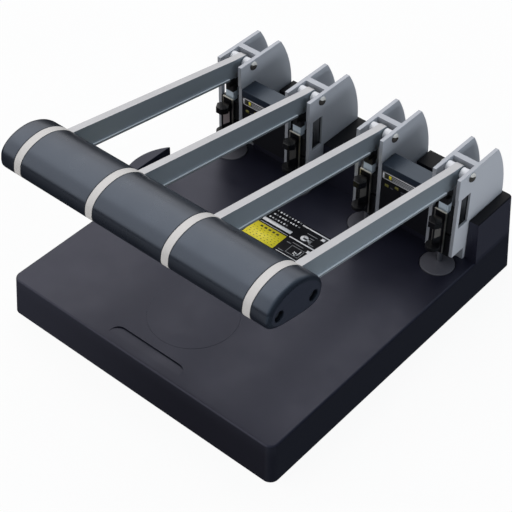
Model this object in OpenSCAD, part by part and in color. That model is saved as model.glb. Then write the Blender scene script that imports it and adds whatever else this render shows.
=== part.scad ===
// Four hole punch: one lever drives four hollow cutters through a stack of paper.
// X runs across the machine, the handle is towards -Y, Z is up.
// The origin is the centre of the underside, and all sizes are millimetres.

/* [Base] */
// Width of the base outside the outer bracket plates, at its foot
side_margin = 15; // [13:0.2:19]
// Depth of the base at its foot
base_d = 336; // [330:1:350]
// Height of the deck above the table
base_h = 40.3; // [39:0.1:46]
// Thickness of the base's walls
base_wall = 3; // [2.5:0.1:4]
// Thickness of the deck
deck_t = 3.3; // [3:0.1:4]
// Thickness of the rubber mat
mat_t = 2.5; // [2:0.1:4]

/* [Rear housing] */
// Height of the side walls and the centre block above the deck
wall_rise = 43; // [38:0.5:46]
// Height of the raised blocks above the side walls
block_rise = 4.2; // [2:0.1:6]
// Height of the shelf under the chip boxes above the deck
shelf_rise = 21.4; // [20:0.1:24]

/* [Heads] */
// Distance between neighbouring holes
hole_pitch = 80; // [79:0.5:84]
// Distance from the paper's edge to the holes
hole_edge = 12; // [10:0.5:13]
// Height of the paper throat
throat_h = 14; // [13.5:0.1:16]
// Height of the bracket plates above the deck
head_rise = 100.7; // [98:0.5:104]
// Thickness of one bracket plate
plate_t = 3.6; // [3:0.1:4]
// Clear space between the two plates of a bracket
plate_gap = 21.2; // [21:0.1:22]
// Radius of the plates' rear curve
sail_r = 104.5; // [100:0.5:110]

/* [Punch] */
// Outer diameter of a hole
hole_dia = 6; // [5.5:0.1:6.5]
// Travel of a cutter from rest to its highest point
stroke = 17.24; // [16:0.02:17.24]
// Diameter of a cutting disc
disc_dia = 31; // [28:0.5:32]

/* [Lever] */
// Width of an arm
arm_w = 7; // [6.5:0.1:7.5]
// Height of the handle's centre above the lever's pivot
grip_rise = 37.5; // [36:0.1:39]
// Depth of the handle
grip_d = 63.3; // [61:0.1:65]
// Height of the handle's crown above its centre line
crown_h = 20.5; // [19:0.1:22]
// Length of an end cap of the handle
cap_len = 18.1; // [16:0.1:20]
// Diameter of a tie rod
rod_dia = 6; // [5:0.1:7]

/* [Chip boxes] */
// Height of a chip box's lid above the deck
chip_rise = 77.2; // [74:0.1:79]
// Depth of a chip box's front tower
tower_d = 18; // [16:0.1:19]

/* [Side guide] */
// Height of the side guide above the deck
guide_rise = 19.7; // [16:0.1:24]
// Length of the side guide
guide_len = 65; // [60:0.5:70]
// Bulge of the side guide beyond its flat face
guide_bulge = 12; // [10:0.5:13]

/* [Hidden] */
$fn = 48;
head_count = 4;

// Shared clearances and overruns
gap = 0.3;
fit = 0.05;
press = 0.02;
over = 1;
skin = 0.02;
hull_sides = 32;
plastic = [0.13, 0.13, 0.16];
silver = [0.68, 0.7, 0.73];
steel = [0.75, 0.76, 0.78];
black = [0.05, 0.05, 0.06];

// Base form: the walls lean in by these shares of the height
side_draft_share = 0.06;
rear_draft_share = 0.048;
corner_front_r = 8;
corner_rear_r = 4;
edge_r = 2;
foot_lift = 0.8;
housing_edge_r = 1.5;
edge_steps = 3;

// Places along X: the outer holes, the base's half width at its foot, the handle's half length
plate_out = plate_gap / 2 + plate_t;
outer_x = (head_count - 1) / 2 * hole_pitch;
base_half = outer_x + plate_out + side_margin;
grip_half = outer_x + arm_w / 2 + cap_len;

// Places along Y, measured from the line of holes
punch_setback = 74.5;
punch_y = base_d / 2 - punch_setback;
stop_y = punch_y + hole_edge;
throat_z = base_h + throat_h;
head_top = base_h + head_rise;

// Bracket plates
plate_reach = 5;
plate_step = 1;
plate_step_drop = 21;
plate_back = 68.1;
plate_front = punch_y - plate_reach;
plate_rear = punch_y + plate_back;
sail_rise = 43.7;
sail_z = base_h + sail_rise;
foot_setback = 4;
foot_rear = plate_rear - foot_setback;
foot_step_drop = 2;
window_w = 13.5;
window_h = 32.3;
window_in = 0.5;
window_drop = 23.7;
window_y = punch_y + window_in;
window_z = head_top - window_drop - window_h;
web_t = 6;
foot_plate_t = 6;
foot_plate_in = 2;
foot_plate_run = 42.5;
foot_plate_y0 = stop_y + foot_plate_in;
foot_plate_y1 = foot_plate_y0 + foot_plate_run;

// Pivot
pivot_in = 11.9;
pivot_drop = 5.8;
pivot_y = punch_y + pivot_in;
pivot_z = head_top - pivot_drop;
pin_r = 3;
pin_head_r = 4.4;
pin_head_t = 2.6;
spacer_r = 5;
hub_r = 6;
web_gap = 2.1;
web_y = pivot_y + hub_r + web_gap;

// Drive pin: it turns through equal angles below and above the level of the pivot
drive_r = 14;
drive_angle = asin(stroke / 2 / drive_r);
drive_pin_r = 2;
boss_r = 4;
drive_y = pivot_y - drive_r * cos(drive_angle);
drive_z = pivot_z - drive_r * sin(drive_angle);
slot_play = 0.45;
slot_half = drive_pin_r + slot_play;

// Arm profile, measured from the pivot and the handle
arm_low_in = 15.4;
arm_low_drop = 11.2;
arm_top_in = 10.9;
arm_top_rise = 7.3;
grip_setback = 2.95;
grip_y = grip_d / 2 - base_d / 2 + grip_setback;
grip_z = pivot_z + grip_rise;
arm_front_top_in = 26.4;
arm_front_top_rise = 6.3;
arm_front_low_in = 21.4;
arm_front_low_drop = 15.1;
arm_low_slope = (grip_rise - arm_front_low_drop + arm_low_drop)
  / (pivot_y - arm_low_in - grip_y - arm_front_low_in);
arm_top_slope = (arm_front_top_rise + grip_rise - arm_top_rise)
  / (pivot_y - arm_top_in - grip_y - arm_front_top_in);
lip_t = 2;
lip_out = 1.8;
lip_rear_gap = 6;
pocket_w = 4;
pocket_len = 32;
pocket_roof = 3.5;
pocket_over = 16;

// Handle
crown_power = 1.84;
belly_h = 15.8;
belly_power = 3.5;
grip_steps = 28;
grip_tilt = 11.5;
grip_shell = 3;
rod_in = 20;
rod_drop = 2.4;
rod_boss = 2.4;
cap_round = 4.6;
cap_steps = 4;
nut_r = 4.4;
nut_len = 6;
nut_sink = 3;
well_r = 4.8;

// Punch holder, guide block and cutter
block_lift = 2;
pipe_r = hole_dia / 2;
pipe_wall = 0.7;
pipe_bore_r = pipe_r - pipe_wall;
tip_gap = 0.3;
disc_proud = 1;
disc_t = 4.8;
disc_rim = 0.8;
disc_ring = 1.2;
disc_fit = 0.08;
disc_sides = 96;
disc_floor = 2.5;
disc_forward = 4.5;
disc_side = 1;
guide_h = 23.5;
guide_reach = 5;
guide_back = 7.5;
guide_front = punch_y - guide_reach;
guide_rear = punch_y + guide_back;
holder_h = 20;
holder_side_gap = 0.7;
holder_front = guide_front + gap;
neck_w = 9;
neck_back = 0.9;
neck_rear = punch_y + neck_back;
neck_drop = 10.78;
tongue_play = 0.6;
tongue_reach = 19;
tongue_inset = 6;
tongue_w = pocket_w - tongue_play;
tongue_front = pivot_y - tongue_reach;
tongue_rear = pivot_y - tongue_inset;
tongue_top = 2.2;
channel_h = 6;
channel_w = 6;

// Unit cover with its nose, flange, frame, label and knob
cover_w = 10;
cover_t = 2.2;
cover_lift = 3.2;
cover_low = throat_z + cover_lift;
cover_foot_h = 20;
cover_depth = 2.5;
cover_front = guide_front - cover_depth;
cover_rise = 61.5;
cover_top = base_h + cover_rise;
frame_t = 1.2;
frame_leg = 1.6;
nose_out = 8;
nose_tip_w = 1;
nose_root_w = 6.4;
nose_rise = 36;
nose_low = base_h + nose_rise;
nose_h = 15;
label_t = 0.4;
label_edge = 0.6;
knob_r = 6.7;
knob_y = cover_front - knob_r - gap;
knob_h = 6.5;
knob_z = nose_low + nose_h + gap;
knob_sides = 6;
knob_axle_r = 1.8;
collar_r = 3.2;
collar_h = 1.4;
flange_t = 3.5;
flange_r = 6.4;
flange_drop = 7;

// Chip box
chip_side_gap = 0.3;
chip_wall = 2;
chip_floor = 2;
chip_setback = 1.5;
chip_front = plate_front + chip_setback;
chip_lid_t = 2.4;
chip_lid_lap = 1;
drawer_run = 34;
drawer_rear = stop_y + drawer_run;
drawer_h = 20;
chip_skirt_h = 7.2;
chip_label_h = 8.8;
chip_label_t = 0.4;

// Rear housing
side_wall_in = 5;
side_wall_y = stop_y + side_wall_in;
slot_gap = 0.4;
block_in = 37;
block_front = stop_y + block_in;
block_side_gap = 1.4;
hollow_wall = 3;

// Side guide
guide_y = 4.5;
guide_face_gap = 1.4;
guide_low_drop = 16.3;
guide_low = base_h - guide_low_drop;
guide_top = base_h + guide_rise;
guide_bar_w = 16;
guide_bar_t = 3;
guide_bar_len = 110;
guide_bar_drop = 8;
guide_bar_z = base_h - deck_t - guide_bar_drop;
rail_wall = 2;

// Frame plate under the deck, bolts and screws
frame_plate_t = 4;
frame_drop = 5;
frame_side_gap = 8;
frame_reach = 26;
frame_rear_in = 12;
frame_front = punch_y - frame_reach;
frame_rear = base_d / 2 - frame_rear_in;
bolt_r = 2.5;
bolt_head_r = 4.5;
bolt_head_t = 2.6;
bolt_grip = 5;
bolt_front_in = 22;
bolt_rear_in = 38;
bolt_y = [stop_y + bolt_front_in, stop_y + bolt_rear_in];
screw_x = [-hole_pitch, 0, hole_pitch];
screw_in = 8;
screw_y = frame_front + screw_in;
frame_boss_r = 6;
frame_top = base_h - deck_t - frame_drop;

// Deck details
mark_r = 40;
mark_depth = 0.5;
mark_x = 2.4;
mark_in = 71.5;
mark_y = mark_in - base_d / 2;
scoop_x0 = -38;
scoop_w = 78;
scoop_in = 22;
scoop_y = scoop_in - base_d / 2;
scoop_run = 11;
scoop_end_r = 8;
scoop_depth = 1.2;
label_x0 = -36;
label_w = 69;
label_out = 97.2;
label_y0 = stop_y - label_out;
label_d = 44.2;
label_plate_t = 0.3;

function head_x(k) = (k - 1) * hole_pitch - outer_x;
function half_w(z) = base_half - z * side_draft_share;
function rear_y(z) = base_d / 2 - z * rear_draft_share;
function front_y(z) = z * side_draft_share - base_d / 2;

// Outline of the handle, upright, about its own centre: a round crown over a flatter belly
function bow_point(u, half, height, power) = [
  u * half,
  height * pow(1 - pow(abs(u), power), 1 / power)
];
function grip_points(half, rise, drop) = concat(
  [for (i = [0 : grip_steps]) bow_point(-cos(180 * i / grip_steps), half, rise, crown_power)],
  [for (i = [1 : grip_steps - 1]) bow_point(cos(180 * i / grip_steps), half, -drop, belly_power)]
);

// Extrudes a Y-Z outline along X
module along_x(x0, x1) {
  translate([x0, 0, 0])
    rotate([90, 0, 90])
      linear_extrude(x1 - x0)
        children();
}

// A box between two corners
module block(low, high) {
  translate(low)
    cube(high - low);
}

// A rod along X
module rod_x(x0, x1, y, z, r) {
  translate([x0, y, z])
    rotate([0, 90, 0])
      cylinder(h = x1 - x0, r = r);
}

// One thin layer of the base's outer form at height z
module form_layer(z, inset) {
  for (side = [-1, 1]) {
    translate([side * (half_w(z) - corner_front_r), front_y(z) + corner_front_r, z - skin])
      cylinder(h = skin, r = corner_front_r - inset, $fn = hull_sides);
    translate([side * (half_w(z) - corner_rear_r), rear_y(z) - corner_rear_r, z - skin])
      cylinder(h = skin, r = corner_rear_r - inset, $fn = hull_sides);
  }
}

// The base's outer form between two heights, with a rounded or a sharp top edge
module form(z0, z1, round_r) {
  hull() {
    form_layer(z0 + skin, 0);
    if (round_r == 0) form_layer(z1, 0);
    if (round_r > 0)
      for (i = [0 : edge_steps])
        form_layer(z1 - round_r * (1 - sin(90 * i / edge_steps)), round_r * (1 - cos(90 * i / edge_steps)));
  }
}

// Plan of the rear housing: everything that stands on the deck behind the paper
module housing_plan(z1) {
  block([-base_half, side_wall_y, base_h], [-plate_out - outer_x - slot_gap, base_d, z1]);
  block([plate_out + outer_x + slot_gap, side_wall_y, base_h], [base_half, base_d, z1]);
  block(
    [head_x(2) + plate_out + slot_gap, side_wall_y, base_h],
    [head_x(3) - plate_out - slot_gap, base_d, z1]
  );
  block([-base_half, foot_rear + slot_gap, base_h], [base_half, base_d, z1]);
}

// Shelf and paper stop between the heads of a pair, from the deck up
module shelf_plan(k, z1) {
  block(
    [head_x(k) + plate_out + slot_gap, stop_y, base_h],
    [head_x(k + 1) - plate_out - slot_gap, block_front + over, z1]
  );
}

module raised_plan(k, z1) {
  block(
    [head_x(k) + plate_out + block_side_gap, block_front, base_h],
    [head_x(k + 1) - plate_out - block_side_gap, base_d, z1]
  );
}

module base_shell() {
  color(plastic)
    difference() {
      union() {
        form(foot_lift, base_h, edge_r);
        intersection() {
          form(foot_lift, base_h, 0);
          block([-base_half, side_wall_y, base_h - edge_r - over], [base_half, base_d, base_h + over]);
        }
      }
      difference() {
        base_hollow();
        for (k = [1 : 4]) disc_cup(k);
        at_screws()
          translate([0, 0, frame_top])
            cylinder(h = base_h - frame_top - edge_r, r = frame_boss_r);
      }
      at_screws()
        translate([0, 0, frame_top - over])
          cylinder(h = frame_drop + over, r = bolt_r + fit);
      for (k = [1 : 4]) {
        disc_recess(k);
        for (y = bolt_y)
          translate([head_x(k), y, 0])
            cylinder(h = base_h + over, r = bolt_r + fit);
      }
      mat_place(0, -over);
      scoop();
      translate([mark_x, mark_y, base_h - mark_depth])
        cylinder(h = mark_depth + over, r = mark_r, $fn = disc_sides);
      guide_slot();
    }
}

// Inside of the base, open at the bottom
module base_hollow() {
  block(
    [base_wall - half_w(base_h), front_y(base_h) + base_wall, -over],
    [half_w(base_h) - base_wall, rear_y(base_h) - base_wall, base_h - deck_t]
  );
}

module disc_place(k) {
  translate([head_x(k) + disc_side, punch_y - disc_forward, base_h + disc_proud - disc_t])
    children();
}

module disc_cup(k) {
  disc_place(k)
    translate([0, 0, -disc_floor])
      cylinder(h = disc_t + disc_floor, r = disc_dia / 2 + disc_rim + disc_floor);
}

// The disc turns in a close bore below a wider ring
module disc_recess(k) {
  disc_place(k) {
    cylinder(h = disc_t + over, r = disc_dia / 2 + disc_fit, $fn = disc_sides);
    translate([0, 0, disc_t - disc_proud - disc_ring])
      cylinder(h = disc_proud + disc_ring + over, r = disc_dia / 2 + disc_rim, $fn = disc_sides);
  }
}

// Finger scoop: a short slope that ends in an upright wall with rounded ends
module scoop() {
  intersection() {
    along_x(scoop_x0, scoop_x0 + scoop_w)
      polygon([
        [scoop_y, base_h - scoop_depth],
        [scoop_y, base_h + over],
        [scoop_y - scoop_run, base_h + over],
        [scoop_y - scoop_run, base_h]
      ]);
    union() {
      for (x = [scoop_x0 + scoop_end_r, scoop_x0 + scoop_w - scoop_end_r])
        translate([x, scoop_y - scoop_end_r, 0])
          cylinder(h = base_h + over + over, r = scoop_end_r);
      block(
        [scoop_x0 + scoop_end_r, scoop_y - scoop_run - over, 0],
        [scoop_x0 + scoop_w - scoop_end_r, scoop_y + over, base_h + over + over]
      );
      block(
        [scoop_x0 - over, scoop_y - scoop_run - over, 0],
        [scoop_x0 + scoop_w + over, scoop_y - scoop_end_r, base_h + over + over]
      );
    }
  }
}

module guide_slot() {
  block(
    [-base_half - over, guide_y - guide_bar_w / 2 - gap, guide_bar_z - gap],
    [over + base_wall - half_w(base_h), guide_y + guide_bar_w / 2 + gap, guide_bar_z + guide_bar_t + gap]
  );
}

module rear_housing() {
  low_top = base_h + wall_rise;
  block_top = low_top + block_rise;
  color(plastic)
    difference() {
      union() {
        intersection() {
          form(base_h, low_top, housing_edge_r);
          union() {
            housing_plan(low_top);
            shelf_plan(1, base_h + shelf_rise);
            shelf_plan(3, base_h + shelf_rise);
          }
        }
        intersection() {
          form(base_h, block_top, housing_edge_r);
          union() {
            raised_plan(1, block_top);
            raised_plan(3, block_top);
          }
        }
      }
      for (k = [1 : 4]) plate_slots(k);
      housing_hollows();
    }
}

// Slots that the bracket plates drop into
module plate_slots(k) {
  for (side = [-1, 1])
    translate([head_x(k) + side * (plate_gap + plate_t) / 2, 0, 0])
      block(
        [-plate_t / 2 - slot_gap, stop_y, base_h - over],
        [plate_t / 2 + slot_gap, plate_rear + slot_gap, base_h + wall_rise + block_rise + over]
      );
}

// Hollow undersides of the centre block and the raised blocks
module housing_hollows() {
  side = plate_out + slot_gap + hollow_wall;
  block(
    [head_x(2) + side, side_wall_y + hollow_wall, base_h - over],
    [head_x(3) - side, plate_rear - hollow_wall, base_h + wall_rise - hollow_wall]
  );
  for (k = [1, 3])
    block(
      [head_x(k) + plate_out + block_side_gap + hollow_wall, block_front + hollow_wall, base_h - over],
      [head_x(k + 1) - plate_out - block_side_gap - hollow_wall, plate_rear - hollow_wall, base_h + wall_rise]
    );
}

// The mat's place under the base, inside the walls
module mat_place(inset, z0) {
  block(
    [base_wall + inset - half_w(0), front_y(0) + base_wall + inset, z0],
    [half_w(0) - base_wall - inset, rear_y(0) - base_wall - inset, mat_t]
  );
}

module bottom_mat() {
  color(black)
    mat_place(gap, 0);
}

// Steel plate under the deck, with a boss at each bracket bolt
module base_frame() {
  color(steel)
    difference() {
      union() {
        block(
          [frame_side_gap + base_wall - half_w(base_h), frame_front, frame_top - frame_plate_t],
          [half_w(base_h) - frame_side_gap - base_wall, frame_rear, frame_top]
        );
        for (k = [1 : 4])
          for (y = bolt_y)
            translate([head_x(k), y, frame_top - over])
              cylinder(h = frame_drop + over, r = frame_boss_r);
      }
      for (k = [1 : 4])
        for (y = bolt_y)
          translate([head_x(k), y, 0])
            cylinder(h = base_h, r = bolt_r + fit);
      at_screws()
        cylinder(h = base_h, r = bolt_r + fit);
    }
}

// A bolt that points up, with its head under the frame plate
module bolt(length) {
  translate([0, 0, frame_top - frame_plate_t]) {
    cylinder(h = length, r = bolt_r);
    translate([0, 0, -bolt_head_t])
      cylinder(h = bolt_head_t, r = bolt_head_r);
  }
}

// Places of the screws that hold the frame plate to the shell's bosses
module at_screws() {
  for (x = screw_x)
    translate([x, screw_y, 0])
      children();
}

module frame_screws() {
  color(steel)
    at_screws() bolt(frame_plate_t + frame_drop - gap);
}

module bracket_bolts() {
  color(steel)
    for (k = [1 : 4])
      for (y = bolt_y)
        translate([head_x(k), y, 0])
          bolt(frame_plate_t + frame_drop + deck_t + bolt_grip);
}

module base_label() {
  color("yellow")
    block([label_x0, label_y0, base_h], [label_x0 + label_w, label_y0 + label_d, base_h + label_plate_t]);
}

// Outline of one bracket plate
module plate_outline() {
  difference() {
    intersection() {
      translate([plate_rear - sail_r, sail_z])
        circle(r = sail_r, $fn = 180);
      union() {
        translate([plate_front, head_top - plate_step_drop])
          square([plate_back + plate_reach, plate_step_drop]);
        translate([plate_front + plate_step, throat_z])
          square([plate_back + plate_reach - plate_step, head_top - plate_step_drop - throat_z]);
        translate([foot_plate_y0, base_h])
          square([foot_rear - foot_plate_y0, throat_z - base_h]);
      }
    }
    translate([window_y, window_z])
      square([window_w, window_h]);
    translate([foot_rear, 0])
      square([plate_back, base_h + wall_rise - foot_step_drop]);
    translate([pivot_y, pivot_z])
      circle(r = pin_r + fit);
  }
}

module head_bracket(k) {
  color(silver)
    translate([head_x(k), 0, 0])
      difference() {
        union() {
          along_x(plate_gap / 2, plate_out) plate_outline();
          along_x(-plate_out, -plate_gap / 2) plate_outline();
          block([-plate_gap / 2, web_y, base_h], [plate_gap / 2, web_y + web_t, head_top]);
          block(
            [-plate_gap / 2, foot_plate_y0, base_h],
            [plate_gap / 2, foot_plate_y1, base_h + foot_plate_t]
          );
        }
        for (y = bolt_y)
          translate([0, y, base_h - over])
            cylinder(h = bolt_grip + over, r = bolt_r + fit);
      }
}

module pivot_pins() {
  color(steel)
    for (k = [1 : 4]) {
      rod_x(head_x(k) - plate_out, head_x(k) + plate_out, pivot_y, pivot_z, pin_r);
      rod_x(head_x(k) - plate_out - pin_head_t, head_x(k) - plate_out, pivot_y, pivot_z, pin_head_r);
      rod_x(head_x(k) + plate_out, head_x(k) + plate_out + pin_head_t, pivot_y, pivot_z, pin_head_r);
    }
}

module pivot_spacers() {
  color("white")
    for (k = [1 : 4])
      difference() {
        union() {
          rod_x(head_x(k) - plate_gap / 2, head_x(k) - arm_w / 2 - gap, pivot_y, pivot_z, spacer_r);
          rod_x(head_x(k) + arm_w / 2 + gap, head_x(k) + plate_gap / 2, pivot_y, pivot_z, spacer_r);
        }
        rod_x(head_x(k) - plate_out, head_x(k) + plate_out, pivot_y, pivot_z, pin_r + fit);
      }
}

// Casting between the plates with the bore that guides the cutter
module guide_block(k) {
  color(black)
    difference() {
      block(
        [head_x(k) - plate_gap / 2, guide_front, throat_z],
        [head_x(k) + plate_gap / 2, guide_rear, throat_z + guide_h]
      );
      translate([head_x(k), punch_y, throat_z - over])
        cylinder(h = guide_h + over + over, r = pipe_r + fit);
    }
}

module unit_cover(k) {
  color(black)
    translate([head_x(k), 0, 0])
      difference() {
        union() {
          block([-cover_w / 2, cover_front, cover_low], [cover_w / 2, guide_front, cover_low + cover_foot_h]);
          block([-cover_w / 2, cover_front, cover_low], [cover_w / 2, cover_front + cover_t, cover_top]);
          translate([0, 0, nose_low]) nose(nose_h);
          translate([0, knob_y, nose_low + nose_h - collar_h])
            cylinder(h = collar_h, r = collar_r);
          translate([0, knob_y, nose_low - flange_drop - flange_t])
            cylinder(h = flange_t, r = flange_r);
          translate([0, 0, nose_low - flange_drop - flange_t]) nose(flange_drop + flange_t);
        }
        translate([0, knob_y, nose_low + nose_h - collar_h])
          cylinder(h = collar_h + over, r = knob_axle_r + fit);
      }
}

// V-shaped nose in front of a unit cover
module nose(h) {
  linear_extrude(h)
    polygon([
      [-nose_root_w / 2, cover_front + fit],
      [nose_root_w / 2, cover_front + fit],
      [nose_tip_w / 2, cover_front - nose_out],
      [-nose_tip_w / 2, cover_front - nose_out]
    ]);
}

// Inverted U of light steel round the front of each unit cover
module unit_frames() {
  color(silver)
    for (k = [1 : 4])
      translate([head_x(k), 0, 0])
        difference() {
          block(
            [-cover_w / 2 - frame_t, cover_front, cover_low],
            [cover_w / 2 + frame_t, cover_front + frame_leg, cover_top + frame_t]
          );
          block(
            [-cover_w / 2, cover_front - over, cover_low - over],
            [cover_w / 2, cover_front + frame_leg + over, cover_top]
          );
        }
}

// Label plates on the right flank of each nose
module unit_labels() {
  flank_angle = atan2(nose_out + fit, (nose_root_w - nose_tip_w) / 2);
  flank_len = norm([nose_out + fit, (nose_root_w - nose_tip_w) / 2]);
  color("white")
    for (k = [1 : 4])
      translate([head_x(k) + nose_tip_w / 2, cover_front - nose_out, nose_low])
        rotate([0, 0, flank_angle])
          block(
            [label_edge, -label_t, label_edge],
            [flank_len - label_edge - label_edge, 0, nose_h - collar_h - label_edge]
          );
}

module clamp_knob(k) {
  color(black)
    translate([head_x(k), knob_y, 0]) {
      translate([0, 0, knob_z])
        cylinder(h = knob_h, r = knob_r, $fn = knob_sides);
      translate([0, 0, knob_z - collar_h])
        cylinder(h = collar_h + over, r = knob_axle_r);
    }
}

function chip_x0(k) = head_x(k) + plate_out + chip_side_gap;
function chip_x1(k) = head_x(k + 1) - plate_out - chip_side_gap;
chip_low = base_h + shelf_rise + gap;
chip_top = base_h + chip_rise;

module chip_box(k) {
  lid_low = chip_top - chip_lid_t;
  color(black)
    difference() {
      union() {
        block([chip_x0(k), chip_front, chip_low], [chip_x1(k), chip_front + tower_d, lid_low]);
        block(
          [chip_x0(k) + gap, chip_front + tower_d - over, chip_low],
          [chip_x1(k) - gap, drawer_rear, chip_low + drawer_h]
        );
      }
      block(
        [chip_x0(k) + chip_wall, chip_front + chip_wall, chip_low + chip_floor],
        [chip_x1(k) - chip_wall, chip_front + tower_d - chip_wall, lid_low + over]
      );
      block(
        [chip_x0(k) + chip_wall + gap, chip_front + tower_d - chip_wall - over, chip_low + chip_floor],
        [chip_x1(k) - chip_wall - gap, drawer_rear - chip_wall, chip_low + drawer_h - chip_wall]
      );
      block(
        [chip_x0(k) - over, chip_front + chip_wall + over, window_z],
        [chip_x1(k) + over, chip_front + tower_d - chip_wall - over, lid_low - chip_wall]
      );
    }
}

module chip_lid(k) {
  color(plastic)
    difference() {
      block(
        [chip_x0(k), chip_front - chip_lid_lap, chip_top - chip_skirt_h],
        [chip_x1(k), chip_front + tower_d, chip_top]
      );
      block([chip_x0(k) - over, chip_front, chip_low], [chip_x1(k) + over, base_d, chip_top - chip_lid_t]);
    }
}

module chip_label(k) {
  color("lightgrey")
    block(
      [chip_x0(k) + label_edge, chip_front - chip_label_t, chip_top - chip_skirt_h - gap - chip_label_h],
      [chip_x1(k) - label_edge, chip_front, chip_top - chip_skirt_h - gap]
    );
}

// Side guide: a crescent outside the left edge, on a flat bar that slides in the base
module side_guide() {
  face_x = -half_w(0) + guide_face_gap - gap - gap;
  bow_r = (pow(guide_len / 2, 2) + pow(guide_bulge, 2)) / (2 * guide_bulge);
  color(black)
    union() {
      translate([face_x, guide_y, guide_low])
        linear_extrude(guide_top - guide_low)
          intersection() {
            translate([bow_r - guide_bulge, 0]) circle(r = bow_r, $fn = 120);
            translate([-guide_bulge, -guide_len / 2]) square([guide_bulge, guide_len]);
          }
      block(
        [face_x - over, guide_y - guide_bar_w / 2, guide_bar_z],
        [face_x + guide_bar_len, guide_y + guide_bar_w / 2, guide_bar_z + guide_bar_t]
      );
    }
}

// Channel under the deck that the side guide's bar runs in
module guide_rail() {
  x0 = base_wall + gap - half_w(base_h);
  color(steel)
    difference() {
      block(
        [x0, guide_y - guide_bar_w / 2 - gap - rail_wall, guide_bar_z - gap - rail_wall],
        [x0 + guide_bar_len, guide_y + guide_bar_w / 2 + gap + rail_wall, base_h - deck_t]
      );
      block(
        [x0 - over, guide_y - guide_bar_w / 2 - gap, guide_bar_z - gap],
        [x0 + guide_bar_len + over, guide_y + guide_bar_w / 2 + gap, guide_bar_z + guide_bar_t + gap]
      );
      block(
        [x0 - over, guide_y - guide_bar_w / 2 + rail_wall, guide_bar_z],
        [x0 + guide_bar_len + over, guide_y + guide_bar_w / 2 - rail_wall, base_h]
      );
    }
}

// The handle's outline at its place, tilted down to the rear
module grip_outline(inset) {
  translate([grip_y, grip_z])
    rotate(-grip_tilt)
      polygon(grip_points(grip_d / 2 - inset, crown_h - inset, belly_h - inset));
}

// Puts a child at the front and rear tie rod in the Y-Z outline
module at_rods() {
  for (side = [-1, 1])
    translate([grip_y, grip_z])
      rotate(-grip_tilt)
        translate([side * rod_in, -rod_drop])
          children();
}

// Side outline of an arm from the pivot to its root inside the handle
module arm_outline() {
  link = norm([drive_y - pivot_y, drive_z - pivot_z]);
  lean = atan2(pivot_z - drive_z, pivot_y - drive_y) - asin((hub_r - boss_r) / link);
  union() {
    polygon([
      [grip_y, grip_z],
      [grip_y + arm_front_low_in, grip_z - arm_front_low_drop],
      [pivot_y - arm_low_in, pivot_z - arm_low_drop],
      [drive_y, drive_z],
      [pivot_y, pivot_z],
      [pivot_y, pivot_z + hub_r],
      [pivot_y - arm_top_in, pivot_z + arm_top_rise],
      [grip_y + arm_front_top_in, grip_z + arm_front_top_rise]
    ]);
    polygon([
      [drive_y, drive_z],
      [drive_y + boss_r * sin(lean), drive_z - boss_r * cos(lean)],
      [pivot_y + hub_r * sin(lean), pivot_z - hub_r * cos(lean)],
      [pivot_y, pivot_z]
    ]);
    translate([drive_y, drive_z]) circle(r = boss_r);
    translate([pivot_y, pivot_z]) circle(r = hub_r);
  }
}

// Thin lip along the lower edge of an arm
module arm_lip() {
  front = [grip_y + arm_front_low_in, grip_z - arm_front_low_drop];
  rear = [pivot_y - arm_low_in - lip_rear_gap, pivot_z - arm_low_drop + arm_low_slope * lip_rear_gap];
  polygon([
    front,
    rear,
    [rear[0], rear[1] + lip_t],
    [front[0], front[1] + lip_t]
  ]);
}

// Pocket for the tongue of the punch holder: open below and behind, closed on top
module arm_pocket() {
  roof_rear = pivot_z + arm_top_rise - pocket_roof;
  polygon([
    [pivot_y - pocket_len, pivot_z - drive_r - pocket_over],
    [pivot_y + pocket_over, pivot_z - drive_r - pocket_over],
    [pivot_y + pocket_over, roof_rear],
    [pivot_y - arm_top_in, roof_rear],
    [pivot_y - pocket_len, roof_rear + arm_top_slope * (pocket_len - arm_top_in)]
  ]);
}

module arm(k) {
  color(silver)
    translate([head_x(k), 0, 0])
      difference() {
        union() {
          along_x(-arm_w / 2, arm_w / 2)
            union() {
              arm_outline();
              grip_outline(0);
            }
          along_x(-arm_w / 2 - lip_out, arm_w / 2 + lip_out)
            difference() {
              arm_lip();
              grip_outline(-gap);
            }
        }
        along_x(-pocket_w / 2, pocket_w / 2) arm_pocket();
        rod_x(-arm_w, arm_w, pivot_y, pivot_z, pin_r + fit);
        rod_x(-arm_w, arm_w, drive_y, drive_z, drive_pin_r + press);
        along_x(-arm_w, arm_w)
          at_rods() circle(r = rod_dia / 2 + fit);
      }
}

module drive_pins() {
  color(steel)
    for (k = [1 : 4])
      rod_x(head_x(k) - arm_w / 2, head_x(k) + arm_w / 2, drive_y, drive_z, drive_pin_r);
}

// Hollow dark part of the handle between two arms
module grip_segment(k) {
  color(plastic)
    along_x(head_x(k) + arm_w / 2, head_x(k + 1) - arm_w / 2)
      difference() {
        grip_outline(0);
        difference() {
          grip_outline(grip_shell);
          at_rods() circle(r = rod_dia / 2 + rod_boss);
        }
        at_rods() circle(r = rod_dia / 2 + fit);
      }
}

// Draws a right-hand part as it is, or mirrored to the left
module sided(side) {
  if (side < 0) mirror([1, 0, 0]) children();
  if (side > 0) children();
}

// Rounded end of the handle, with two wells for the tie rod nuts
module end_cap(side) {
  root = grip_half - cap_len;
  tip = grip_half;
  color(plastic)
    sided(side)
      difference() {
        hull() {
          along_x(root, tip - cap_round) grip_outline(0);
          for (i = [1 : cap_steps]) {
            x = tip - cap_round * (1 - sin(90 * i / cap_steps));
            along_x(x - skin, x) grip_outline(cap_round * (1 - cos(90 * i / cap_steps)));
          }
        }
        along_x(root - over, tip + over)
          at_rods() circle(r = rod_dia / 2 + fit);
        along_x(tip - nut_len - nut_sink, tip + over)
          at_rods() circle(r = well_r);
      }
}

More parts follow.
